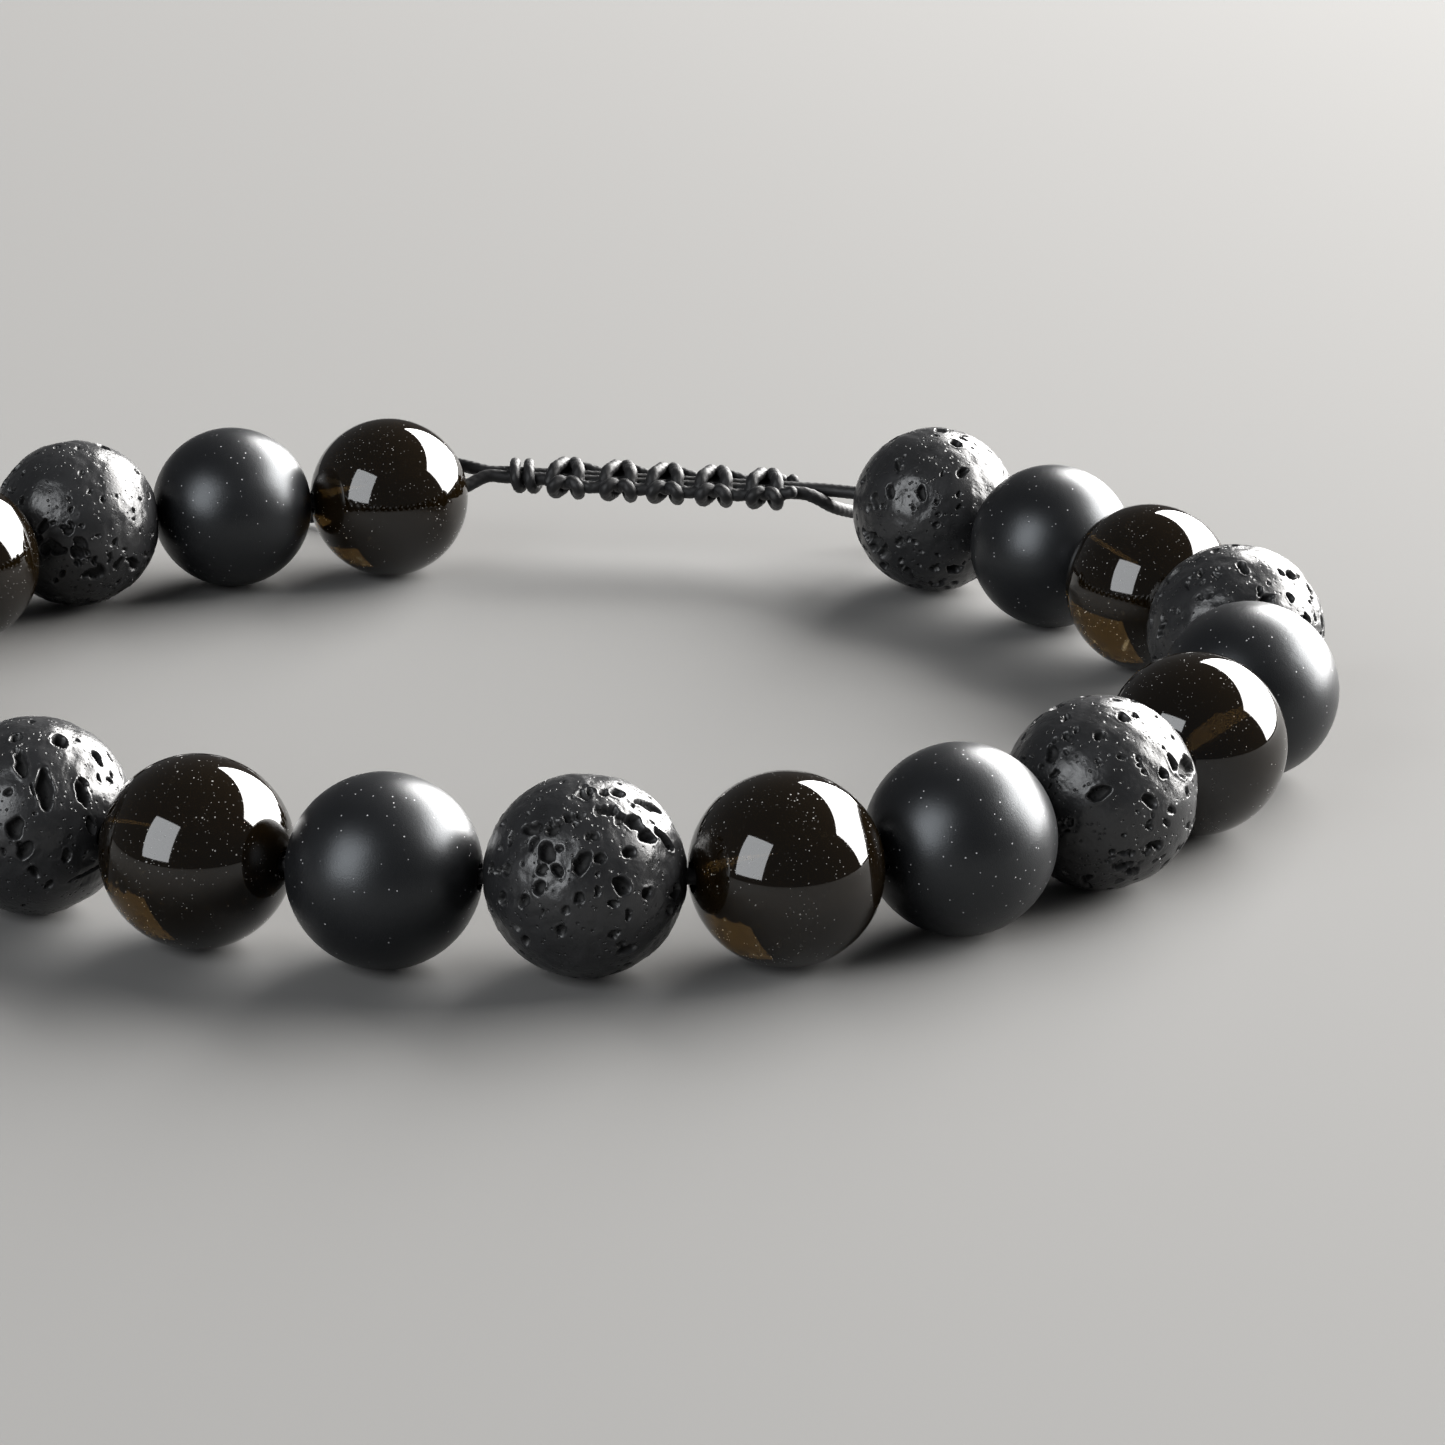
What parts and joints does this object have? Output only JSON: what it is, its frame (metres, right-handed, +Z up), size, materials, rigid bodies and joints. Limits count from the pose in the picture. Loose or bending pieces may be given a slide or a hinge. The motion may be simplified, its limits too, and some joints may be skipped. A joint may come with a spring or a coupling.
{
  "type": "mala prayer beads",
  "caption": "Wrist mala of lava, frosted and polished black stone beads on one cord, closed by a sliding macrame knot.",
  "frame": {"origin": "on the resting surface, under the middle of the beaded ring's bounding box, leaving out the two free tails", "axes": "+X along the ring's longer width, +Y towards the closure at the back, +Z up from the surface"},
  "size_m": [0.0727, 0.0681, 0.0083],
  "materials": {
    "lava_stone": "satin black lava, open pits",
    "frosted_stone": "frosted matte black",
    "polished_stone": "high polish, dark brown-black",
    "cord": "waxed braided black",
    "knotting_cord": "waxed braided black, knotted"
  },
  "bodies": {
    "cord": {"core_cord": "cord", "left_tail": "cord", "left_stopper_knot": "cord", "right_tail": "cord", "right_stopper_knot": "cord"},
    "lava_bead_01": {"lava_bead_01": "lava_stone"},
    "frosted_bead_02": {"frosted_bead_02": "frosted_stone"},
    "polished_bead_03": {"polished_bead_03": "polished_stone"},
    "lava_bead_04": {"lava_bead_04": "lava_stone"},
    "frosted_bead_05": {"frosted_bead_05": "frosted_stone"},
    "polished_bead_06": {"polished_bead_06": "polished_stone"},
    "lava_bead_07": {"lava_bead_07": "lava_stone"},
    "frosted_bead_08": {"frosted_bead_08": "frosted_stone"},
    "polished_bead_09": {"polished_bead_09": "polished_stone"},
    "lava_bead_10": {"lava_bead_10": "lava_stone"},
    "frosted_bead_11": {"frosted_bead_11": "frosted_stone"},
    "polished_bead_12": {"polished_bead_12": "polished_stone"},
    "lava_bead_13": {"lava_bead_13": "lava_stone"},
    "frosted_bead_14": {"frosted_bead_14": "frosted_stone"},
    "polished_bead_15": {"polished_bead_15": "polished_stone"},
    "lava_bead_16": {"lava_bead_16": "lava_stone"},
    "frosted_bead_17": {"frosted_bead_17": "frosted_stone"},
    "polished_bead_18": {"polished_bead_18": "polished_stone"},
    "lava_bead_19": {"lava_bead_19": "lava_stone"},
    "frosted_bead_20": {"frosted_bead_20": "frosted_stone"},
    "polished_bead_21": {"polished_bead_21": "polished_stone"},
    "sliding_knot": {"sliding_knot": "knotting_cord"}
  },
  "joints": [
    {"name": "lava_01_spin", "type": "hinge", "parent": "cord", "child": "lava_bead_01", "pos_m": [0.0191, 0.0252, 0.00414], "axis": [0.7545, -0.6563, 0], "continuous": true},
    {"name": "frosted_02_spin", "type": "hinge", "parent": "cord", "child": "frosted_bead_02", "pos_m": [0.02461, 0.01916, 0.00402], "axis": [0.6016, -0.7988, 0], "continuous": true},
    {"name": "polished_03_spin", "type": "hinge", "parent": "cord", "child": "polished_bead_03", "pos_m": [0.02883, 0.01229, 0.00402], "axis": [0.4665, -0.8845, 0], "continuous": true},
    {"name": "lava_04_spin", "type": "hinge", "parent": "cord", "child": "lava_bead_04", "pos_m": [0.03218, 0.00482, 0.00414], "axis": [0.1953, -0.9807, 0], "continuous": true},
    {"name": "frosted_05_spin", "type": "hinge", "parent": "cord", "child": "frosted_bead_05", "pos_m": [0.03194, -0.00335, 0.00402], "axis": [-0.2135, -0.9769, 0], "continuous": true},
    {"name": "polished_06_spin", "type": "hinge", "parent": "cord", "child": "polished_bead_06", "pos_m": [0.02877, -0.01076, 0.00402], "axis": [-0.4855, -0.8742, 0], "continuous": true},
    {"name": "lava_07_spin", "type": "hinge", "parent": "cord", "child": "lava_bead_07", "pos_m": [0.0241, -0.01748, 0.00414], "axis": [-0.6688, -0.7435, 0], "continuous": true},
    {"name": "frosted_08_spin", "type": "hinge", "parent": "cord", "child": "frosted_bead_08", "pos_m": [0.01791, -0.02283, 0.00402], "axis": [-0.8324, -0.5541, 0], "continuous": true},
    {"name": "polished_09_spin", "type": "hinge", "parent": "cord", "child": "polished_bead_09", "pos_m": [0.01069, -0.0264, 0.00402], "axis": [-0.9573, -0.2891, 0], "continuous": true},
    {"name": "lava_10_spin", "type": "hinge", "parent": "cord", "child": "lava_bead_10", "pos_m": [0.00258, -0.02746, 0.00414], "axis": [-0.9999, -0.0152, 0], "continuous": true},
    {"name": "frosted_11_spin", "type": "hinge", "parent": "cord", "child": "frosted_bead_11", "pos_m": [-0.00556, -0.02665, 0.00402], "axis": [-0.9826, 0.186, 0], "continuous": true},
    {"name": "polished_12_spin", "type": "hinge", "parent": "cord", "child": "polished_bead_12", "pos_m": [-0.01332, -0.02445, 0.00402], "axis": [-0.9237, 0.383, 0], "continuous": true},
    {"name": "lava_13_spin", "type": "hinge", "parent": "cord", "child": "lava_bead_13", "pos_m": [-0.02046, -0.02047, 0.00414], "axis": [-0.7982, 0.6024, 0], "continuous": true},
    {"name": "frosted_14_spin", "type": "hinge", "parent": "cord", "child": "frosted_bead_14", "pos_m": [-0.02625, -0.01469, 0.00402], "axis": [-0.6131, 0.79, 0], "continuous": true},
    {"name": "polished_15_spin", "type": "hinge", "parent": "cord", "child": "polished_bead_15", "pos_m": [-0.03034, -0.00775, 0.00402], "axis": [-0.3665, 0.9304, 0], "continuous": true},
    {"name": "lava_16_spin", "type": "hinge", "parent": "cord", "child": "lava_bead_16", "pos_m": [-0.03213, 0.00023, 0.00414], "axis": [-0.0838, 0.9965, 0], "continuous": true},
    {"name": "frosted_17_spin", "type": "hinge", "parent": "cord", "child": "frosted_bead_17", "pos_m": [-0.0317, 0.0084, 0.00402], "axis": [0.1945, 0.9809, 0], "continuous": true},
    {"name": "polished_18_spin", "type": "hinge", "parent": "cord", "child": "polished_bead_18", "pos_m": [-0.02901, 0.016, 0.00402], "axis": [0.4836, 0.8753, 0], "continuous": true},
    {"name": "lava_19_spin", "type": "hinge", "parent": "cord", "child": "lava_bead_19", "pos_m": [-0.02395, 0.02243, 0.00414], "axis": [0.7894, 0.6138, 0], "continuous": true},
    {"name": "frosted_20_spin", "type": "hinge", "parent": "cord", "child": "frosted_bead_20", "pos_m": [-0.01647, 0.02575, 0.00402], "axis": [0.9473, 0.3204, 0], "continuous": true},
    {"name": "polished_21_spin", "type": "hinge", "parent": "cord", "child": "polished_bead_21", "pos_m": [-0.00863, 0.02761, 0.00402], "axis": [0.9602, 0.2792, 0], "continuous": true},
    {"name": "knot_slide", "type": "slide", "parent": "cord", "child": "sliding_knot", "axis": [0.9951, -0.0948, -0.0271], "range_m": [-0.0006, 0.001]}
  ]
}
